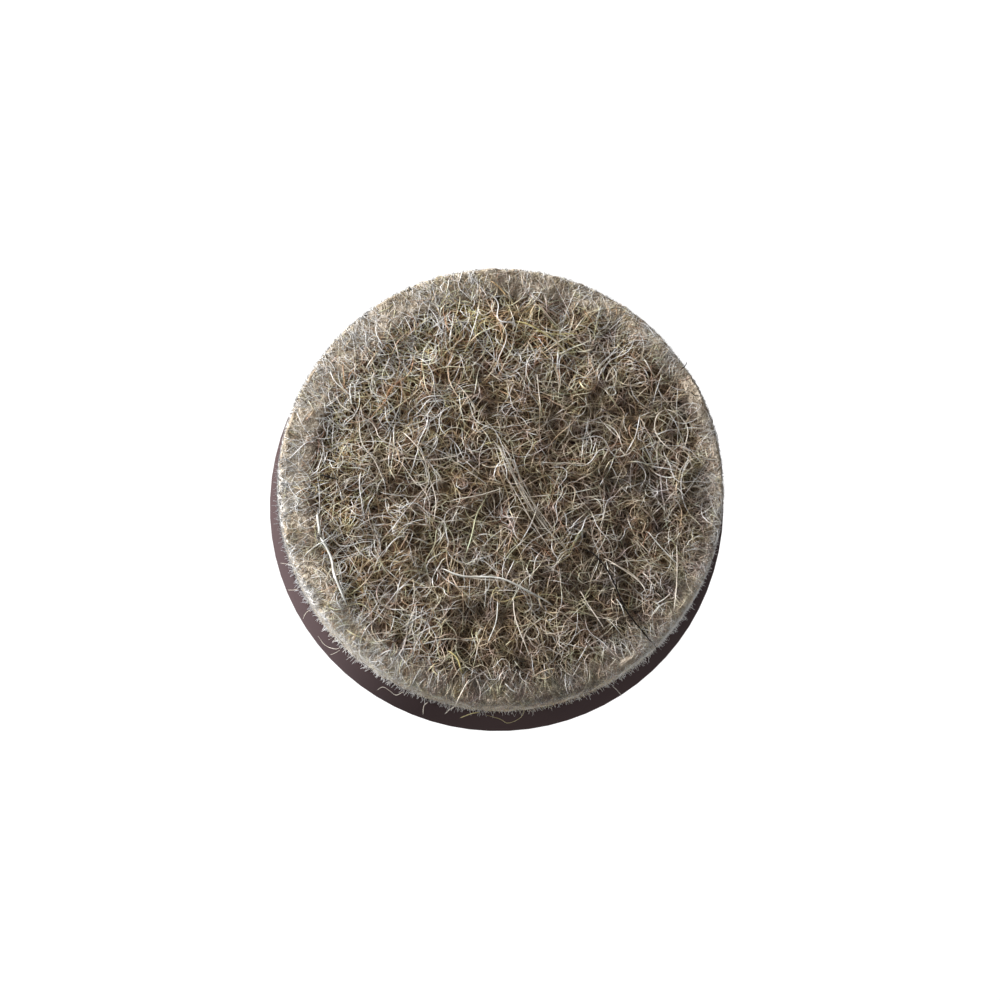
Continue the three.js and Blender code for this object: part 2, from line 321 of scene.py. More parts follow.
def hair_mesh(name, paths, radii, tints, sides=3):
    """Closed hairs, one for each path.

    paths is (hairs, stations, 3), radii (hairs, stations) and tints the same as paths. Each station
    has a ring of points at centre + radius * (cos a * side + sin a * lift), where side is tangent x
    nearly up and lift is side x tangent. Two triangles join each pair of neighbours on two rings, and
    a fan closes each end. Every hair has its own cell of the bake map, a square grid, with its length
    up the cell and its girth across.
    """
    hairs, stations = paths.shape[:2]
    tangent = np.gradient(paths, axis=1)
    tangent /= np.linalg.norm(tangent, axis=2, keepdims=True)
    nearly_up = UP + np.array((0.11, 0.07, 0.0))  # so that an upright hair has a side as well
    side = np.cross(tangent, nearly_up)
    side /= np.linalg.norm(side, axis=2, keepdims=True)
    lift = np.cross(side, tangent)
    turn = (2 * np.pi * np.arange(sides) / sides + np.pi / 2)[None, None, :, None]
    ring = np.cos(turn) * side[:, :, None] + np.sin(turn) * lift[:, :, None]
    points = paths[:, :, None] + radii[:, :, None, None] * ring

    k = np.arange(sides)
    a = np.arange(stations - 1)[:, None] * sides + k
    b = np.arange(stations - 1)[:, None] * sides + (k + 1) % sides
    walls = np.stack((a, a + sides, b + sides, a, b + sides, b), axis=-1).reshape(-1, 3)
    spokes = np.arange(1, sides - 1)
    start = np.stack((0 * spokes, spokes, spokes + 1), axis=-1)
    last = (stations - 1) * sides
    end = np.stack((0 * spokes + last, spokes + 1 + last, spokes + last), axis=-1)
    one = np.concatenate((walls, start, end))
    first = np.arange(hairs) * stations * sides
    corners = (first[:, None, None] + one).reshape(-1, 3)
    mesh = mesh_from_arrays(name, points.reshape(-1, 3), corners)

    colour = np.ones((hairs, stations * sides, 4), np.float32)
    colour[:, :, :3] = np.repeat(tints, sides, axis=1)
    tint = mesh.attributes.new("tint", "FLOAT_COLOR", "POINT")
    tint.data.foreach_set("color", colour.ravel())

    # One hair's map: walls between the two end strips, then the ends as small triangles in them
    strip = 0.06
    filled = 0.9  # share of its place that a wall, an end or a hair's whole map takes
    margin = 0.05  # on both sides of it in a cell
    rise = (1 - 2 * strip) / (stations - 1)
    low = strip + rise * np.repeat(np.arange(stations - 1), sides)
    left = np.tile(k, stations - 1) / sides
    right = left + filled / sides
    u = np.stack((left, left, right, left, right, right), axis=-1).ravel()
    v = np.stack((low, low + rise, low + rise, low, low + rise, low), axis=-1).ravel()
    cap_u = np.tile((0.0, filled, 0.5), len(spokes)) / len(spokes)
    cap_u += np.repeat(np.arange(len(spokes)), 3) / len(spokes)
    cap_v = np.tile((0.0, 0.0, 0.8 * strip), len(spokes))
    u = np.concatenate((u, cap_u, cap_u))
    v = np.concatenate((v, cap_v, cap_v + 1 - strip))
    grid = math.ceil(math.sqrt(hairs))
    cell = np.arange(hairs)
    across = (cell % grid)[:, None] + margin + filled * u
    along = (cell // grid)[:, None] + margin + filled * v
    bake_map = mesh.uv_layers.new(name=BAKE_MAP)
    bake_map.uv.foreach_set("vector", (np.stack((across, along), axis=-1) / grid).ravel())
    return mesh


def tapered(radius, stations, tip=0.35, reach=0.12):
    """Radii along hairs: full in the middle, falling to a share of it over the reach of each end."""
    s = np.linspace(0, 1, stations)
    ends = np.clip(np.minimum(s, 1 - s) / reach, 0, 1)
    return radius[:, None] * (tip + (1 - tip) * np.sqrt(ends))


def soft_patches(paths):
    """How much lighter and warmer the felt is at points: the sum of its soft patches, each of which
    falls off as a bell curve of the distance from its middle."""
    lighter = 0.0
    warmer = 0.0
    for _, pixel, radius, light, warm in SOFT_PATCHES:
        middle = under_pixels(np.array([pixel]), np.array([FELT_TOP]))[0, :2]
        bell = np.exp(-(((paths[..., :2] - middle) / (radius * MM)) ** 2).sum(-1))
        lighter = lighter + light * bell
        warmer = warmer + warm * bell
    return lighter, warmer


def mixed_tints(rng, paths, lighten, variety=1.0, paling=0.0, lamp_side_paling=LAMP_SIDE_PAINTED_LIGHT):
    """Colours along each hair.

    A hair has one colour of the mix, drawn towards the pile's colour by the paling and in the ring at the
    rim. Fields, chance and soft patches make it warmer or greener, and depth under the felt's face makes it
    browner. Its level is the product of the level asked for, a rise with the square of the radius and in the
    ring, the hair's own chance, tufts, clumps and patches, painted light towards the lamp side, soft patches,
    and painted shade that deepens with depth. Ring and pile fade out towards the shaded side, as painted
    shade.
    """
    colours = np.array([colour for colour, _ in HAIR_MIX.values()])
    shares = np.array([share for _, share in HAIR_MIX.values()])
    count = len(paths)
    tints = colours[rng.choice(len(colours), count, p=shares / shares.sum())][:, None, :]
    radius = np.hypot(paths[..., 0], paths[..., 1])
    height = paths[..., 2]
    rim = np.clip((radius - (WALL_RADIUS - PALE_RIM)) / PALE_RIM, 0, 1)
    shaded_share = np.clip(paths @ SHADED_SIDE / np.maximum(radius, 1e-6), 0, 1) ** 4
    # Painted shade: on the shaded side the hairs are drawn less towards the pile's pale colour
    drawn = np.clip((paling + RING_PALING * rim) * (1 - SHADED_SIDE_PALING_FALL * shaded_share), 0, 1)[..., None]
    tints = tints * (1 - drawn) + PILE * drawn
    own = np.exp(OWN_SPREAD * variety * rng.standard_normal((count, 1)))
    uneven = TUFT_SPREAD * tufts(paths) + CLUMP_SPREAD * clumps(paths) + PATCH_SPREAD * patches(paths)
    gain = 1 + variety * uneven
    toward = paths @ LAMP_SIDE / WALL_RADIUS
    # The painted light towards the lamp side counts less at the very edge, and more the further a hair lies
    # towards it
    toward = toward * (1 - 0.7 * rim**3) + 0.6 * np.clip(toward, 0, 1) ** 2
    lighter, warmer = soft_patches(paths)
    gain = gain * (1 + lamp_side_paling * toward) * (1 + lighter)
    depth = np.minimum(felt_height(paths[..., 0], paths[..., 1]) - height, WALL_RADIUS - radius)
    sunk = np.clip(depth / SHADE_DEPTH, 0, 1)[..., None]
    warm = WARM_SPREAD * warmth(paths)[..., None] + CHANCE_SPREAD * rng.standard_normal((count, 1, 1))
    warm = warm + DEEP_WARMTH * sunk + warmer[..., None]
    green = GREEN_SPREAD * greenness(paths)[..., None]
    green = green + CHANCE_SPREAD * rng.standard_normal((count, 1, 1))
    tints = tints * (1 + warm * WARMER + green * GREENER)
    # Painted shade: the pale ring fades out towards the shaded side
    ring = rim * (RING_RISE - SHADED_SIDE_PAINTED_SHADE * shaded_share) + EDGE_RISE * rim**4 * (1 - shaded_share)
    level = lighten * (FACE_LEVEL + OUTER_RISE * (radius / WALL_RADIUS) ** 2 + ring)
    # Painted shade: the deeper a hair lies under the felt's face, the darker it is
    level = level * own * np.clip(gain, *GAIN_RANGE) * (1 - DEEP_PAINTED_SHADE * sunk[..., 0])
    return np.clip(tints * level[..., None], DARKEST, LIGHTEST)


def curled_lines(rng, count, stations, length):
    """Flat curled lines about their own middles.

    The curvature along a line is a steady bend plus two sine waves of its own pitch and phase, all
    times a strength of its own, so that some lines are nearly straight and some curl tightly. The
    heading is a random start plus the running sum of curvature times step, and the line is the
    running sum of steps along the heading.
    """
    s = np.linspace(0, 1, stations)[None, :]
    step = (length / (stations - 1))[:, None]
    strength = np.exp(0.75 * rng.standard_normal((count, 1)))
    steady = HAIR_BEND * rng.standard_normal((count, 1))
    pitch = rng.uniform(0.12, 0.5, (2, count, 1)) * (length / MM)[None, :, None]
    phase = rng.uniform(0, 2 * np.pi, (2, count, 1))
    swing = HAIR_CRIMP * rng.standard_normal((2, count, 1))
    waves = (swing * np.sin(2 * np.pi * pitch * s + phase)).sum(0)
    turning = np.clip(strength * (steady + waves), -TIGHTEST_CURL, TIGHTEST_CURL)
    heading = rng.uniform(0, 2 * np.pi, (count, 1)) + np.cumsum(turning * step, axis=1)
    line = np.cumsum(np.stack((np.cos(heading), np.sin(heading)), axis=-1) * step[..., None], axis=1)
    return line - line.mean(axis=1, keepdims=True)


def tangle(name, seed, count, depth, length, girth, lighten, stations, material):
    """One layer of curled hairs lying in the face of the felt.

    Lines are scattered evenly over the disc. One that would leave it moves in by as much as its
    furthest point stands out, twice over, and is left out if it still leaves the disc then. Each hair
    lies at its own depth under the felt's face, weaves up and down with a sine, and dives at both
    ends with the fourth power of the distance from its middle.
    """
    rng = np.random.default_rng(seed)
    drawn = 2 * count
    lengths = rng.uniform(*length, drawn)
    lines = curled_lines(rng, drawn, stations, lengths)
    distance = WALL_RADIUS * np.sqrt(rng.random(drawn))
    angle = rng.uniform(0, 2 * np.pi, drawn)
    lines += (distance[:, None] * np.stack((np.cos(angle), np.sin(angle)), axis=-1))[:, None, :]
    room = WALL_RADIUS - rng.uniform(0.02, 0.5, drawn) * MM
    for _ in range(2):
        radius = np.linalg.norm(lines, axis=2)
        tip = lines[np.arange(drawn), radius.argmax(axis=1)]
        excess = np.clip(radius.max(axis=1) - room, 0, None)
        lines -= (tip * (excess / radius.max(axis=1))[:, None])[:, None, :]
    lines = lines[np.linalg.norm(lines, axis=2).max(axis=1) < WALL_RADIUS][:count]
    found = len(lines)
    s = np.linspace(-1, 1, stations)[None, :]
    under = rng.uniform(*depth, (found, 1))
    sway = rng.uniform(0.04, 0.2, (found, 1)) * MM
    height = felt_height(lines[..., 0], lines[..., 1]) - under
    height += sway * np.sin(rng.uniform(2, 9, (found, 1)) * s + rng.uniform(0, 6.3, (found, 1)))
    dive = rng.uniform(0.05, 0.4, (found, 1)) * MM
    height -= dive * s**4
    paths = np.concatenate((lines, height[..., None]), axis=-1)
    radii = tapered(girth * HAIR_RADIUS * np.exp(rng.normal(0, 0.33, found)), stations)
    mesh = hair_mesh(name, paths, radii, mixed_tints(rng, paths, lighten))
    return add_piece(name, mesh, material)


def over_the_edge(run, climb):
    """Radius and height at a run along the felt's outline, which is counted from the start of the
    rounded edge, in over the top as minus and down the cut side as plus. Climb is the distance off
    the outline."""
    quarter = EDGE_ROUND * np.pi / 2
    turn = np.clip(run / EDGE_ROUND, 0, np.pi / 2)
    radius = WALL_RADIUS - EDGE_ROUND + np.minimum(run, 0) + (EDGE_ROUND + climb) * np.sin(turn)
    height = FELT_TOP - EDGE_ROUND + (EDGE_ROUND + climb) * np.cos(turn) - np.maximum(run - quarter, 0)
    return radius, height


def rim_hairs(name, seed, count, material):
    """Hairs combed outward over the rounded edge by the cutting of the pad. Each starts up to 1.9 mm inside
    the rounded edge, leans to one side by chance, and ends further out or on the cut side. Two in five lie
    towards the shaded side. They are longer, and go from dark at the root to pale."""
    rng = np.random.default_rng(seed)
    stations = 9
    s = np.linspace(0, 1, stations)[None, :]
    hanging = np.arange(count)[:, None] < 0.4 * count
    start = -rng.uniform(0, 1, (count, 1)) ** 1.4 * 2.0 * MM + 0.1 * MM
    length = (rng.uniform(0.5, 2.0, (count, 1)) + hanging * rng.uniform(0.2, 1.4, (count, 1))) * MM
    run = start + length * s
    climb = rng.uniform(-0.14, 0.06, (count, 1)) * MM * np.sin(np.pi * s) - 0.05 * MM * s
    radius, height = over_the_edge(run, climb)
    lean = rng.normal(0, 0.5, (count, 1)) * s + rng.normal(0, 0.9, (count, 1)) * s * (s - 1)
    middle = math.atan2(SHADED_SIDE[1], SHADED_SIDE[0])
    towards_shaded_side = rng.normal(middle, 0.7, (count, 1))
    angle = np.where(hanging, towards_shaded_side, rng.uniform(0, 2 * np.pi, (count, 1)))
    angle = angle + lean * length / PAD_RADIUS
    paths = np.stack((radius * np.cos(angle), radius * np.sin(angle), height), axis=-1)
    radii = tapered(0.9 * HAIR_RADIUS * np.exp(rng.normal(0, 0.3, count)), stations, reach=0.3)
    shade = np.where(hanging, 0.5 + 0.6 * s, 1.0)
    tints = mixed_tints(rng, paths, 1.5, variety=1.3, paling=0.2) * shade[..., None]
    return add_piece(name, hair_mesh(name, paths, radii, tints), material)


def cut_edge(name, seed, count, material):
    """The cut side of the felt: fine pale hair ends that stand out of it like a brush.

    Roots are spread over the side wall, the rounded edge and the pale band on top, a little under the
    surface. A hair leaves along the outward normal, spread by chance and tipped downward, and the ends just
    above the shell's lip are longer and hang over it. They are darker towards the lamp side, on top and on
    the cut side, as painted shade; paler near the lip, and towards the shaded side paler the lower they are,
    as painted light; and warmer above the lip there.
    """
    rng = np.random.default_rng(seed)
    angle = rng.uniform(0, 2 * np.pi, count)
    side_height = FELT_TOP - EDGE_ROUND - LIP_TOP
    outward = np.stack((np.cos(angle), np.sin(angle), np.zeros(count)), axis=-1)
    run = rng.uniform(0.0, EDGE_ROUND * np.pi / 2 + side_height, count)
    on_top = rng.random(count) < 0.25
    run = np.where(on_top, -band_width(outward) * rng.random(count) ** 1.3, run)
    radius, height = over_the_edge(run, np.full(count, -CORE_UNDER))
    around = np.stack((-np.sin(angle), np.cos(angle), np.zeros(count)), axis=-1)
    root = outward * radius[:, None] + height[:, None] * UP
    turn = np.clip(run / EDGE_ROUND, 0, np.pi / 2)
    way = outward * np.sin(turn)[:, None] + UP * np.cos(turn)[:, None]
    way = way + around * rng.normal(0, 0.5, (count, 1)) + UP * rng.normal(-0.15, 0.35, (count, 1))
    way /= np.linalg.norm(way, axis=1, keepdims=True)
    near_lip = np.clip(1 - (height - LIP_TOP) / (0.7 * MM), 0, 1)
    length = (rng.uniform(0.10, 0.19, count) + 0.4 * near_lip * rng.random(count) ** 2) * MM
    paths = np.stack((root, root + way * length[:, None]), axis=1)
    root_radius = CUT_END_RADIUS * np.exp(rng.normal(0, 0.35, count))
    radii = root_radius[:, None] * np.array((1.0, 0.6))
    tints = mixed_tints(rng, paths, 1.9, paling=0.6, lamp_side_paling=0.0)
    toward = outward @ LAMP_SIDE
    # Painted shade on the hair ends, on top and on the cut side, deepest towards the lamp side
    painted_shade = np.where(on_top, 0.36 + 0.24 * toward, 0.8 * np.clip(toward + 0.15, 0, 1))
    low = np.clip(1 - (height - LIP_TOP) / (2.0 * MM), 0, 1)
    shaded_share = np.clip(outward @ SHADED_SIDE, 0, 1) ** 2
    # Painted light: the hair ends are paler near the lip, and on the shaded side the lower they lie
    tints *= ((1 - painted_shade) * (0.85 + 0.45 * near_lip) * (1 + shaded_share * (1.1 * low + 0.15)))[:, None, None]
    cooler = np.array((-0.04, 0.0, 0.08))
    warmer = np.array((0.07, 0.0, -0.15))
    tints *= 1 + near_lip[:, None, None] * cooler
    tints *= 1 + (shaded_share * (1 - near_lip))[:, None, None] * warmer
    root_and_tip = np.array((1.0, 1.3))
    tints = np.clip(tints * root_and_tip[None, :, None], 0, LIGHTEST)
    return add_piece(name, hair_mesh(name, paths, radii, tints), material)


def through(points, stations):
    """A smooth line through a few points: a cubic between each two neighbours, whose slope at a point
    is half the way from the point before it to the point after it."""
    slopes = np.gradient(points, axis=0)
    place = np.linspace(0, len(points) - 1, stations)
    k = np.minimum(place.astype(int), len(points) - 2)
    t = (place - k)[:, None]
    ends = points[k] * (2 * t**3 - 3 * t**2 + 1) + points[k + 1] * (3 * t**2 - 2 * t**3)
    return ends + slopes[k] * (t**3 - 2 * t**2 + t) + slopes[k + 1] * (t**3 - t**2)


def tell_tale_hairs(name, seed, table, lock, material):
    """The hairs that stand out in the photograph, each under its own pixels a little above the felt,
    with a slight wave, and with both ends diving into the felt by the eighth power of the distance
    from the middle. Where its pixels lie past the rim, a hair slopes down over the edge instead. A
    lock of pale hairs follows one line side by side."""
    rng = np.random.default_rng(seed)
    stations = 17
    paths = []
    radii = []
    tints = []

    def lay(pixels, radius, colour):
        pixels = np.array(pixels, float)
        line = through(pixels, stations)
        flat = under_pixels(line, FELT_TOP)
        past = np.clip(np.hypot(flat[:, 0], flat[:, 1]) - (WALL_RADIUS - 0.2 * MM), 0, None)
        lumpy = felt_height(flat[:, 0], flat[:, 1]) * (past == 0) + FELT_TOP * (past > 0)
        spot = under_pixels(line, lumpy + HAIR_LIFT - 1.6 * past)
        spot[:, 2] += 0.02 * MM * np.sin(np.linspace(0, 9, stations) + rng.uniform(0, 6))
        spot[:, 2] -= 0.4 * MM * np.linspace(-1, 1, stations) ** 8 * (past == 0)
        paths.append(spot)
        radii.append(radius * MM)
        tints.append(colour)

    for _, pixels, radius, colour in table:
        lay(pixels, radius, colour)
    for _ in range(lock):
        spread = rng.normal(0, 4.2, 2) + rng.normal(0, 2.2, (len(LOCK_PATH), 2))
        lay(np.array(LOCK_PATH) + spread, rng.uniform(0.016, 0.026), PALE * rng.uniform(0.5, 0.95))
    radii = tapered(np.array(radii), stations, tip=0.3, reach=0.2)
    uneven = np.exp(rng.normal(-0.05, 0.13, (len(tints), stations, 1)))
    tints = np.clip(np.array(tints)[:, None, :] * uneven, 0, LIGHTEST)
    mesh = hair_mesh(name, np.array(paths), radii, tints)
    return add_piece(name, mesh, material)


def felt_core(material):
    """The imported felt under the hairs: rings of a turned profile, closed at both poles. The profile
    goes from the glued face up the neck, out over the lip, up the cut side and in over the top. The
    top is level with the pale band's roots at the rim, and inside the band sinks to where the loose
    hairs lie. The visible points move in and out with two fields, coarse lumps and fine ones."""
    fine = Waves(np.random.default_rng(31), 0.4 * MM, 40)
    fine_depth = 0.05 * MM
    sectors = 220
    neck = SHELL_HIGH.x - 1.2 * MM
    side = WALL_RADIUS - CORE_UNDER
    crown = FELT_TOP - CORE_UNDER
    turn_in = EDGE_ROUND - CORE_UNDER
    under = [(r, PAD_LOW.z) for r in np.linspace(0, neck, 6)[1:]]
    step = [(neck, LIP_TOP), (side - 0.1 * MM, LIP_TOP + 0.01 * MM)]
    wall = [(side, z) for z in np.linspace(LIP_TOP + 0.15 * MM, crown - turn_in, 16)]
    arc = np.linspace(0, np.pi / 2, 6)[1:]
    edge = [(side - turn_in * (1 - math.cos(a)), crown - turn_in * (1 - math.sin(a))) for a in arc]
    top = [(r, crown) for r in np.linspace(side - turn_in, 0, 60)[1:-1]]
    profile = np.array(under + step + wall + edge + top)
    turn = np.linspace(0, 2 * np.pi, sectors, endpoint=False)
    heights = np.repeat(profile[:, 1:], sectors, axis=1)
    rings = np.stack((profile[:, :1] * np.cos(turn), profile[:, :1] * np.sin(turn), heights), axis=-1)
    shown = np.arange(len(profile)) >= len(under) + len(step)
    flat = rings * (1, 1, 0)
    amount = fine_depth * fine(rings) + LUMP_HEIGHT * lumps(flat)
    on_top = np.arange(len(profile)) >= len(under) + len(step) + len(wall)
    reach = np.linalg.norm(flat, axis=-1)
    outward = flat / np.maximum(reach, 1e-9)[..., None]
    sink = np.clip((side - turn_in - reach - band_width(outward)) / (0.9 * MM), 0, 1)
    rings[..., 2] += (amount - (CORE_DEPTH - CORE_UNDER) * sink) * on_top[:, None]
    rings += outward * (fine_depth * fine(rings) * (shown & ~on_top)[:, None])[..., None]
    middle = crown - CORE_DEPTH + CORE_UNDER + LUMP_HEIGHT * lumps(np.zeros(3))
    poles = np.array(((0, 0, PAD_LOW.z), (0, 0, middle)))
    points = np.concatenate((rings.reshape(-1, 3), poles))
    count = len(profile)
    k = np.arange(sectors)
    a = np.arange(count - 1)[:, None] * sectors + k
    b = np.arange(count - 1)[:, None] * sectors + (k + 1) % sectors
    walls = np.stack((a, b, b + sectors, a, b + sectors, a + sectors), axis=-1).reshape(-1, 3)
    low = count * sectors
    high = low + 1
    last = (count - 1) * sectors
    bottom = np.stack((np.full(sectors, low), (k + 1) % sectors, k), axis=-1)
    cap = np.stack((np.full(sectors, high), k + last, (k + 1) % sectors + last), axis=-1)
    mesh = mesh_from_arrays("felt_core", points, np.concatenate((walls, bottom, cap)))
    return add_piece("felt_core", mesh, material)


def add_node(tree, kind, inputs=None, **settings):
    """Adds a shader node. An input is linked where its value is a socket, and set where it isn't."""
    made = tree.nodes.new(kind)
    for key, value in settings.items():
        setattr(made, key, value)
    for key, value in (inputs or {}).items():
        socket = made.inputs[key]
        if isinstance(value, bpy.types.NodeSocket):
            tree.links.new(value, socket)
        else:
            socket.default_value = value
    return made


def carried(tree, value, start, end, to_start=0.0, to_end=1.0, **settings):
    """A value carried from one range to another and held at the ends of it."""
    ranges = {"From Min": start, "From Max": end, "To Min": to_start, "To Max": to_end}
    made = add_node(tree, "ShaderNodeMapRange", {"Value": value, **ranges}, **settings)
    return made.outputs["Result"]


def worked_out(tree, operation, *values):
    """What a Math node gives for one or two values."""
    return add_node(tree, "ShaderNodeMath", dict(enumerate(values)), operation=operation).outputs[0]


def mixed(tree, share, first, second, **settings):
    """A colour mixed from two by a share of the second."""
    inputs = {0: share, 6: first, 7: second}
    return add_node(tree, "ShaderNodeMix", inputs, data_type="RGBA", **settings).outputs[2]


def blank_material(name):
    """A material with only its output node, and the tree to build in."""
    material = bpy.data.materials.new(name)
    material.use_nodes = True
    material.node_tree.nodes.clear()
    return material, material.node_tree


def principled(tree, inputs):
    """The surface shader of a material, joined to its output."""
    shader = add_node(tree, "ShaderNodeBsdfPrincipled", inputs)
    add_node(tree, "ShaderNodeOutputMaterial", {"Surface": shader.outputs["BSDF"]})


def uneven_colour():
    """Shared shader group: a colour that wanders between two, in soft clouds of a given size."""
    group = bpy.data.node_groups.new("uneven_colour", "ShaderNodeTree")
    sockets = {"Dark": "NodeSocketColor", "Light": "NodeSocketColor", "Clouds per m": "NodeSocketFloat"}
    for name, kind in sockets.items():
        group.interface.new_socket(name, in_out="INPUT", socket_type=kind)
    group.interface.new_socket("Color", in_out="OUTPUT", socket_type="NodeSocketColor")
    given = add_node(group, "NodeGroupInput").outputs
    place = add_node(group, "ShaderNodeTexCoord").outputs["Object"]
    cloud = add_node(
        group,
        "ShaderNodeTexNoise",
        {"Vector": place, "Scale": given["Clouds per m"], "Detail": 3.0},
    )
    level = carried(group, cloud.outputs["Fac"], 0.32, 0.68)
    add_node(group, "NodeGroupOutput", {"Color": mixed(group, level, given["Dark"], given["Light"])})
    return group


def clouded(tree, dark, light, per_metre):
    """The shared group in a material, and its colour output."""
    used = add_node(tree, "ShaderNodeGroup", node_tree=UNEVEN_COLOUR)
    used.inputs["Dark"].default_value = (*linear(*dark), 1)
    used.inputs["Light"].default_value = (*linear(*light), 1)
    used.inputs["Clouds per m"].default_value = per_metre
    return used.outputs["Color"]


def felt_hair(name, roughness, gloss):
    """Loose hairs: each with its own tint, and a paler or darker stretch here and there along it."""
    material, tree = blank_material(name)
    tint = add_node(tree, "ShaderNodeAttribute", attribute_name="tint").outputs["Color"]
    stretch = clouded(tree, (0.86, 0.84, 0.82), (1.0, 1.0, 1.0), 1400.0)
    colour = mixed(tree, 1.0, tint, stretch, blend_type="MULTIPLY")
    principled(tree, {"Base Color": colour, "Roughness": roughness, "Specular IOR Level": gloss})
    return material


def felt_body():
    """Packed felt under the loose hairs: thin curved lines of hair, in two sizes, over dark brown.

    A line runs where a twisted noise is near one half. At the rim the felt turns to short pale pile.
    The distance from the axis that counts there is longer towards the lamp side, where the pile reaches
    further in and takes painted shade at the edge. On the shaded side the pile is painted paler, as painted
    light, and high up the brown shows through it, as painted shade.
    """
    material, tree = blank_material("felt_body")
    place = add_node(tree, "ShaderNodeTexCoord").outputs["Object"]
    lines = []
    for scale, twist, width in ((1500.0, 1.6, 0.07), (2700.0, 1.1, 0.08)):
        noise = add_node(
            tree,
            "ShaderNodeTexNoise",
            {"Vector": place, "Scale": scale, "Detail": 1.0, "Distortion": twist},
        )
        off = worked_out(tree, "SUBTRACT", noise.outputs["Fac"], 0.5)
        lines.append(carried(tree, worked_out(tree, "ABSOLUTE", off), 0.0, width, 1.0, 0.0))
    hairs = worked_out(tree, "MAXIMUM", *lines)
    ground = clouded(tree, (0.13, 0.085, 0.06), (0.24, 0.18, 0.13), 420.0)
    strands = clouded(tree, (0.34, 0.27, 0.20), (0.54, 0.465, 0.38), 900.0)
    inner = mixed(tree, hairs, ground, strands)
    pile_gaps = clouded(tree, (0.42, 0.36, 0.285), (0.68, 0.63, 0.555), 3000.0)
    pile_ends = clouded(tree, (0.73, 0.67, 0.60), (0.91, 0.865, 0.80), 2000.0)
    # Painted light: the pile is paler towards the shaded side
    sideways = add_node(
        tree,
        "ShaderNodeVectorMath",
        {0: place, 1: tuple(SHADED_SIDE / WALL_RADIUS)},
        operation="DOT_PRODUCT",
    )
    paler = carried(tree, sideways.outputs["Value"], 0.4, 1.0, 0.0, 0.6)
    fuzz = mixed(tree, worked_out(tree, "MAXIMUM", hairs, paler), pile_gaps, pile_ends)
    flat = add_node(
        tree, "ShaderNodeVectorMath", {0: place, 1: (1.0, 1.0, 0.0)}, operation="MULTIPLY"
    )
    from_axis = add_node(tree, "ShaderNodeVectorMath", {0: flat.outputs[0]}, operation="LENGTH")
    lamp_side_paling = add_node(
        tree,
        "ShaderNodeVectorMath",
        {0: flat.outputs[0], 1: tuple(LAMP_SIDE * BAND_SPREAD / WALL_RADIUS)},
        operation="DOT_PRODUCT",
    )
    outer = worked_out(tree, "ADD", from_axis.outputs["Value"], lamp_side_paling.outputs["Value"])
    inside = (WALL_RADIUS - 2.0 * MM, WALL_RADIUS - 0.7 * MM)
    rim = carried(tree, outer, *inside, interpolation_type="SMOOTHSTEP")
    # A measure that is one at the wall of the shaded side, and gains 0.45 from the lip to the face; high up
    # there the pale rim gives way to the brown, as painted shade
    steep = 0.45 / (FELT_TOP - LIP_TOP)
    above = add_node(
        tree,
        "ShaderNodeVectorMath",
        {0: place, 1: (*(SHADED_SIDE[:2] / WALL_RADIUS), steep)},
        operation="DOT_PRODUCT",
    )
    high_up = (1.1 + steep * LIP_TOP, 1.32 + steep * LIP_TOP)
    high_painted_shade = carried(tree, above.outputs["Value"], *high_up, 1.0, 0.7)
    rim = worked_out(tree, "MULTIPLY", rim, high_painted_shade)
    # Painted shade at the very edge towards the lamp side
    painted_shade = carried(tree, outer, WALL_RADIUS + 0.2 * MM, WALL_RADIUS + 0.6 * MM, 0.0, 0.6)
    colour = mixed(tree, rim, inner, mixed(tree, painted_shade, fuzz, pile_gaps))
    bump = add_node(tree, "ShaderNodeBump", {"Height": hairs, "Distance": 0.06 * MM, "Strength": 0.8})
    principled(
        tree,
        {
            "Base Color": colour,
            "Normal": bump.outputs["Normal"],
            "Roughness": 0.9,
            "Specular IOR Level": 0.2,
        },
    )
    return material


def brown_plastic():
    """Satin moulded plastic, a dark purplish brown, slightly uneven in colour and gloss."""
    material, tree = blank_material("brown_plastic")
    place = add_node(tree, "ShaderNodeTexCoord").outputs["Object"]
    cloud = add_node(tree, "ShaderNodeTexNoise", {"Vector": place, "Scale": 300.0, "Detail": 3.0})
    grain = add_node(tree, "ShaderNodeTexNoise", {"Vector": place, "Scale": 5200.0, "Detail": 2.0})
    gloss = carried(tree, cloud.outputs["Fac"], 0.3, 0.7, 0.42, 0.52)
    bump = add_node(
        tree,
        "ShaderNodeBump",
        {"Height": grain.outputs["Fac"], "Distance": 0.01 * MM, "Strength": 0.3},
    )
    principled(
        tree,
        {
            "Base Color": clouded(tree, (0.148, 0.104, 0.092), (0.178, 0.128, 0.114), 220.0),
            "Roughness": gloss,
            "Normal": bump.outputs["Normal"],
            "Specular IOR Level": 0.0,
            "Sheen Weight": 0.12,
            "Sheen Roughness": 1.0,
            "Sheen Tint": (0.80, 0.61, 0.65, 1),
        },
    )
    return material


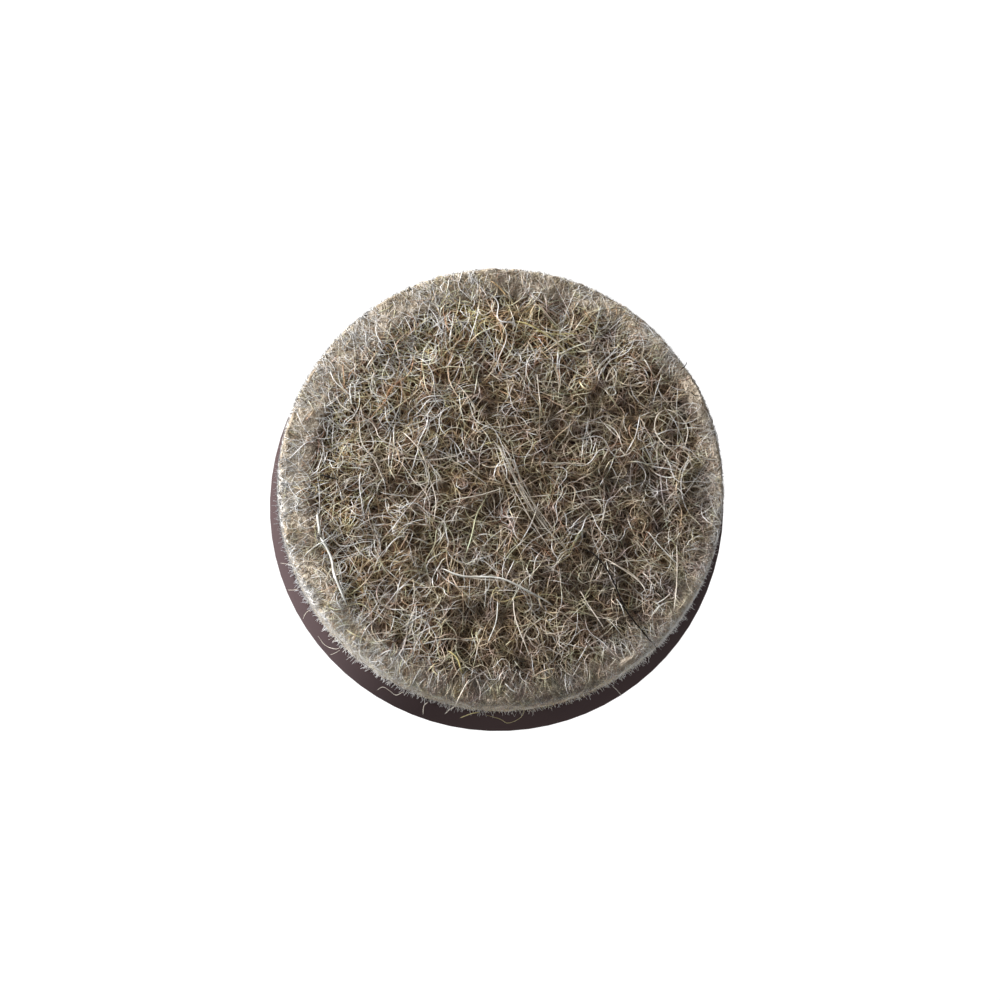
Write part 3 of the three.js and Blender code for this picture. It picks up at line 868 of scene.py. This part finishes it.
def drawn_steel():
    """Bright drawn wire: fine lines along the nail in gloss and height, over soft clouds of grey."""
    material, tree = blank_material("drawn_steel")
    place = add_node(tree, "ShaderNodeTexCoord").outputs["Object"]
    along = add_node(tree, "ShaderNodeMapping", {"Vector": place, "Scale": (1, 1, 0.03)})
    lines = add_node(
        tree, "ShaderNodeTexNoise", {"Vector": along.outputs[0], "Scale": 6000.0, "Detail": 3.0}
    )
    gloss = carried(tree, lines.outputs["Fac"], 0.0, 1.0, 0.16, 0.34)
    bump = add_node(
        tree,
        "ShaderNodeBump",
        {"Height": lines.outputs["Fac"], "Distance": 0.008 * MM, "Strength": 0.4},
    )
    principled(
        tree,
        {
            "Base Color": clouded(tree, (0.66, 0.67, 0.68), (0.72, 0.73, 0.74), 600.0),
            "Metallic": 1.0,
            "Roughness": gloss,
            "Normal": bump.outputs["Normal"],
        },
    )
    return material


def amber_glue():
    """Set hot-melt glue, amber and slightly cloudy."""
    material, tree = blank_material("amber_glue")
    colour = clouded(tree, (0.72, 0.62, 0.40), (0.86, 0.80, 0.62), 500.0)
    principled(tree, {"Base Color": colour, "Roughness": 0.4})
    return material


def smooth_copy(name, node, material):
    """A piece that stands for a rigid node: its mesh with the facets joined and shaded smooth, and
    its real edges kept sharp."""
    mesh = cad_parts[node].data.copy()
    mesh.materials.clear()
    shape = bmesh.new()
    shape.from_mesh(mesh)
    bmesh.ops.remove_doubles(shape, verts=shape.verts, dist=WELD_DISTANCE)
    shape.to_mesh(mesh)
    shape.free()
    mesh.polygons.foreach_set("use_smooth", np.full(len(mesh.polygons), True))
    mesh.set_sharp_from_angle(angle=SHARP_ANGLE)
    piece = add_piece(name, mesh, material)
    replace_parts(piece, node)


def camera_axes():
    """Right, up and backward directions of the camera: it looks down at the photograph's angle and
    is rolled, so that the glide's axis leans to the right."""
    away = Vector((0, -math.cos(CAMERA_ELEVATION), math.sin(CAMERA_ELEVATION)))
    level = Vector((1, 0, 0))
    upright = away.cross(level)
    right = level * math.cos(CAMERA_ROLL) + upright * math.sin(CAMERA_ROLL)
    up = upright * math.cos(CAMERA_ROLL) - level * math.sin(CAMERA_ROLL)
    return right, up, away


def camera_place():
    """Where the camera stands, so that the middle of the pad's top falls on its pixel."""
    right, up, away = camera_axes()
    pixel = FRAME_WIDTH / PICTURE_SIZE
    aside = (PAD_CENTRE_PIXEL[0] - PICTURE_SIZE / 2) * pixel
    below = (PAD_CENTRE_PIXEL[1] - PICTURE_SIZE / 2) * pixel
    return Vector((0, 0, PAD_TOP)) - right * aside + up * below + away * CAMERA_DISTANCE


def under_pixels(pixels, heights):
    """Points of the model under pixels of the photograph: rays from the camera, cut at heights."""
    pixels = np.asarray(pixels, float)
    right, up, away = (np.array(axis) for axis in camera_axes())
    from_middle = (pixels - PICTURE_SIZE / 2) * FRAME_WIDTH / PICTURE_SIZE
    rays = from_middle[:, :1] * right - from_middle[:, 1:] * up - away * CAMERA_DISTANCE
    start = np.array(camera_place())
    reach = (np.asarray(heights) - start[2]) / rays[:, 2]
    return start + rays * reach[:, None]


def aim_camera():
    """The camera of the main picture."""
    data = bpy.data.cameras.new("camera")
    data.lens = data.sensor_width * CAMERA_DISTANCE / FRAME_WIDTH
    data.clip_start = 10 * MM
    data.clip_end = 20.0
    camera = bpy.data.objects.new("camera", data)
    bpy.context.scene.collection.objects.link(camera)
    turn = Matrix(camera_axes()).transposed()
    camera.matrix_world = Matrix.Translation(camera_place()) @ turn.to_4x4()
    bpy.context.scene.camera = camera


def lamp(name, place, size, power):
    """A soft square lamp that looks at the glide and isn't seen itself."""
    data = bpy.data.lights.new(name, "AREA")
    data.shape = "SQUARE"
    data.size = size
    data.energy = power
    made = bpy.data.objects.new(name, data)
    made.location = place
    made.rotation_mode = "QUATERNION"
    made.rotation_quaternion = (-Vector(place)).to_track_quat("-Z", "Y")
    made.visible_camera = False
    bpy.context.scene.collection.objects.link(made)


def sees_background(tree):
    """One where a ray is to see the white background: from the camera, off gloss, through glass."""
    ray = add_node(tree, "ShaderNodeLightPath").outputs
    either = worked_out(tree, "MAXIMUM", ray["Is Camera Ray"], ray["Is Glossy Ray"])
    return worked_out(tree, "MAXIMUM", either, ray["Is Transmission Ray"])


def studio():
    """Pale floor, pale world, one large lamp behind and to the left, a low one at the left that
    brushes the shell's flank, and a weak one in front. The floor is whiter further out, so that it
    has no horizon, and clear from below."""
    for name, place, size, power in LAMPS:
        lamp(name, place, size, power)
    world = bpy.data.worlds.new("world")
    bpy.context.scene.world = world
    world.use_nodes = True
    tree = world.node_tree
    tree.nodes.clear()
    soft = add_node(tree, "ShaderNodeBackground", {"Color": (1, 1, 1, 1), "Strength": WORLD_STRENGTH})
    white = add_node(tree, "ShaderNodeBackground", {"Color": (1, 1, 1, 1), "Strength": 1.0})
    seen = add_node(
        tree,
        "ShaderNodeMixShader",
        {0: sees_background(tree), 1: soft.outputs[0], 2: white.outputs[0]},
    )
    add_node(tree, "ShaderNodeOutputWorld", {"Surface": seen.outputs[0]})

    material, tree = blank_material("floor")
    matt = add_node(tree, "ShaderNodeBsdfDiffuse", {"Color": (FLOOR_GREY, FLOOR_GREY, FLOOR_GREY, 1)})
    place = add_node(tree, "ShaderNodeTexCoord").outputs["Object"]
    away = add_node(tree, "ShaderNodeVectorMath", {0: place}, operation="LENGTH").outputs["Value"]
    level = carried(tree, away, GLOW_NEAR, GLOW_FAR, FLOOR_GLOW, FAR_GLOW)
    glow = add_node(tree, "ShaderNodeEmission", {"Color": (1, 1, 1, 1), "Strength": level})
    both = add_node(tree, "ShaderNodeAddShader", {0: matt.outputs[0], 1: glow.outputs[0]})
    seen = add_node(
        tree,
        "ShaderNodeMixShader",
        {0: sees_background(tree), 1: matt.outputs[0], 2: both.outputs[0]},
    )
    beneath = add_node(tree, "ShaderNodeNewGeometry").outputs["Backfacing"]
    clear = add_node(tree, "ShaderNodeBsdfTransparent")
    shown = add_node(
        tree, "ShaderNodeMixShader", {0: beneath, 1: seen.outputs[0], 2: clear.outputs[0]}
    )
    add_node(tree, "ShaderNodeOutputMaterial", {"Surface": shown.outputs[0]})
    corners = np.array(((-1, -1, 0), (1, -1, 0), (1, 1, 0), (-1, 1, 0)), float) * FLOOR_HALF
    corners[:, 2] = FLOOR_TOP
    mesh = mesh_from_arrays("floor", corners, np.array(((0, 1, 2), (0, 2, 3))), smooth=False)
    mesh.materials.append(material)
    floor = bpy.data.objects.new("floor", mesh)
    bpy.context.scene.collection.objects.link(floor)


aim_camera()
studio()
UNEVEN_COLOUR = uneven_colour()
smooth_copy("moulded_shell", "shell", brown_plastic())
smooth_copy("wire_nail", "nail", drawn_steel())
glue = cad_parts["glue_film"]
glue.data.materials.clear()
glue.data.materials.append(amber_glue())

hair = felt_hair("felt_hair", roughness=0.28, gloss=0.35)
dark_hair = felt_hair("dark_felt_hair", roughness=0.5, gloss=0.08)
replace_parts(felt_core(felt_body()), "felt_pad")
for layer in LAYERS:
    tangle(*layer, hair)
rim_hairs("rim_hairs", 15, 3400, hair)
cut_edge("cut_edge_hairs", 21, 17000, hair)
tell_tale_hairs("long_hairs", 41, LONG_HAIRS, LOCK_HAIRS, hair)
tell_tale_hairs("dark_hairs", 42, DARK_HAIRS, 0, dark_hair)

bpy.context.scene.view_settings.view_transform = "Standard"
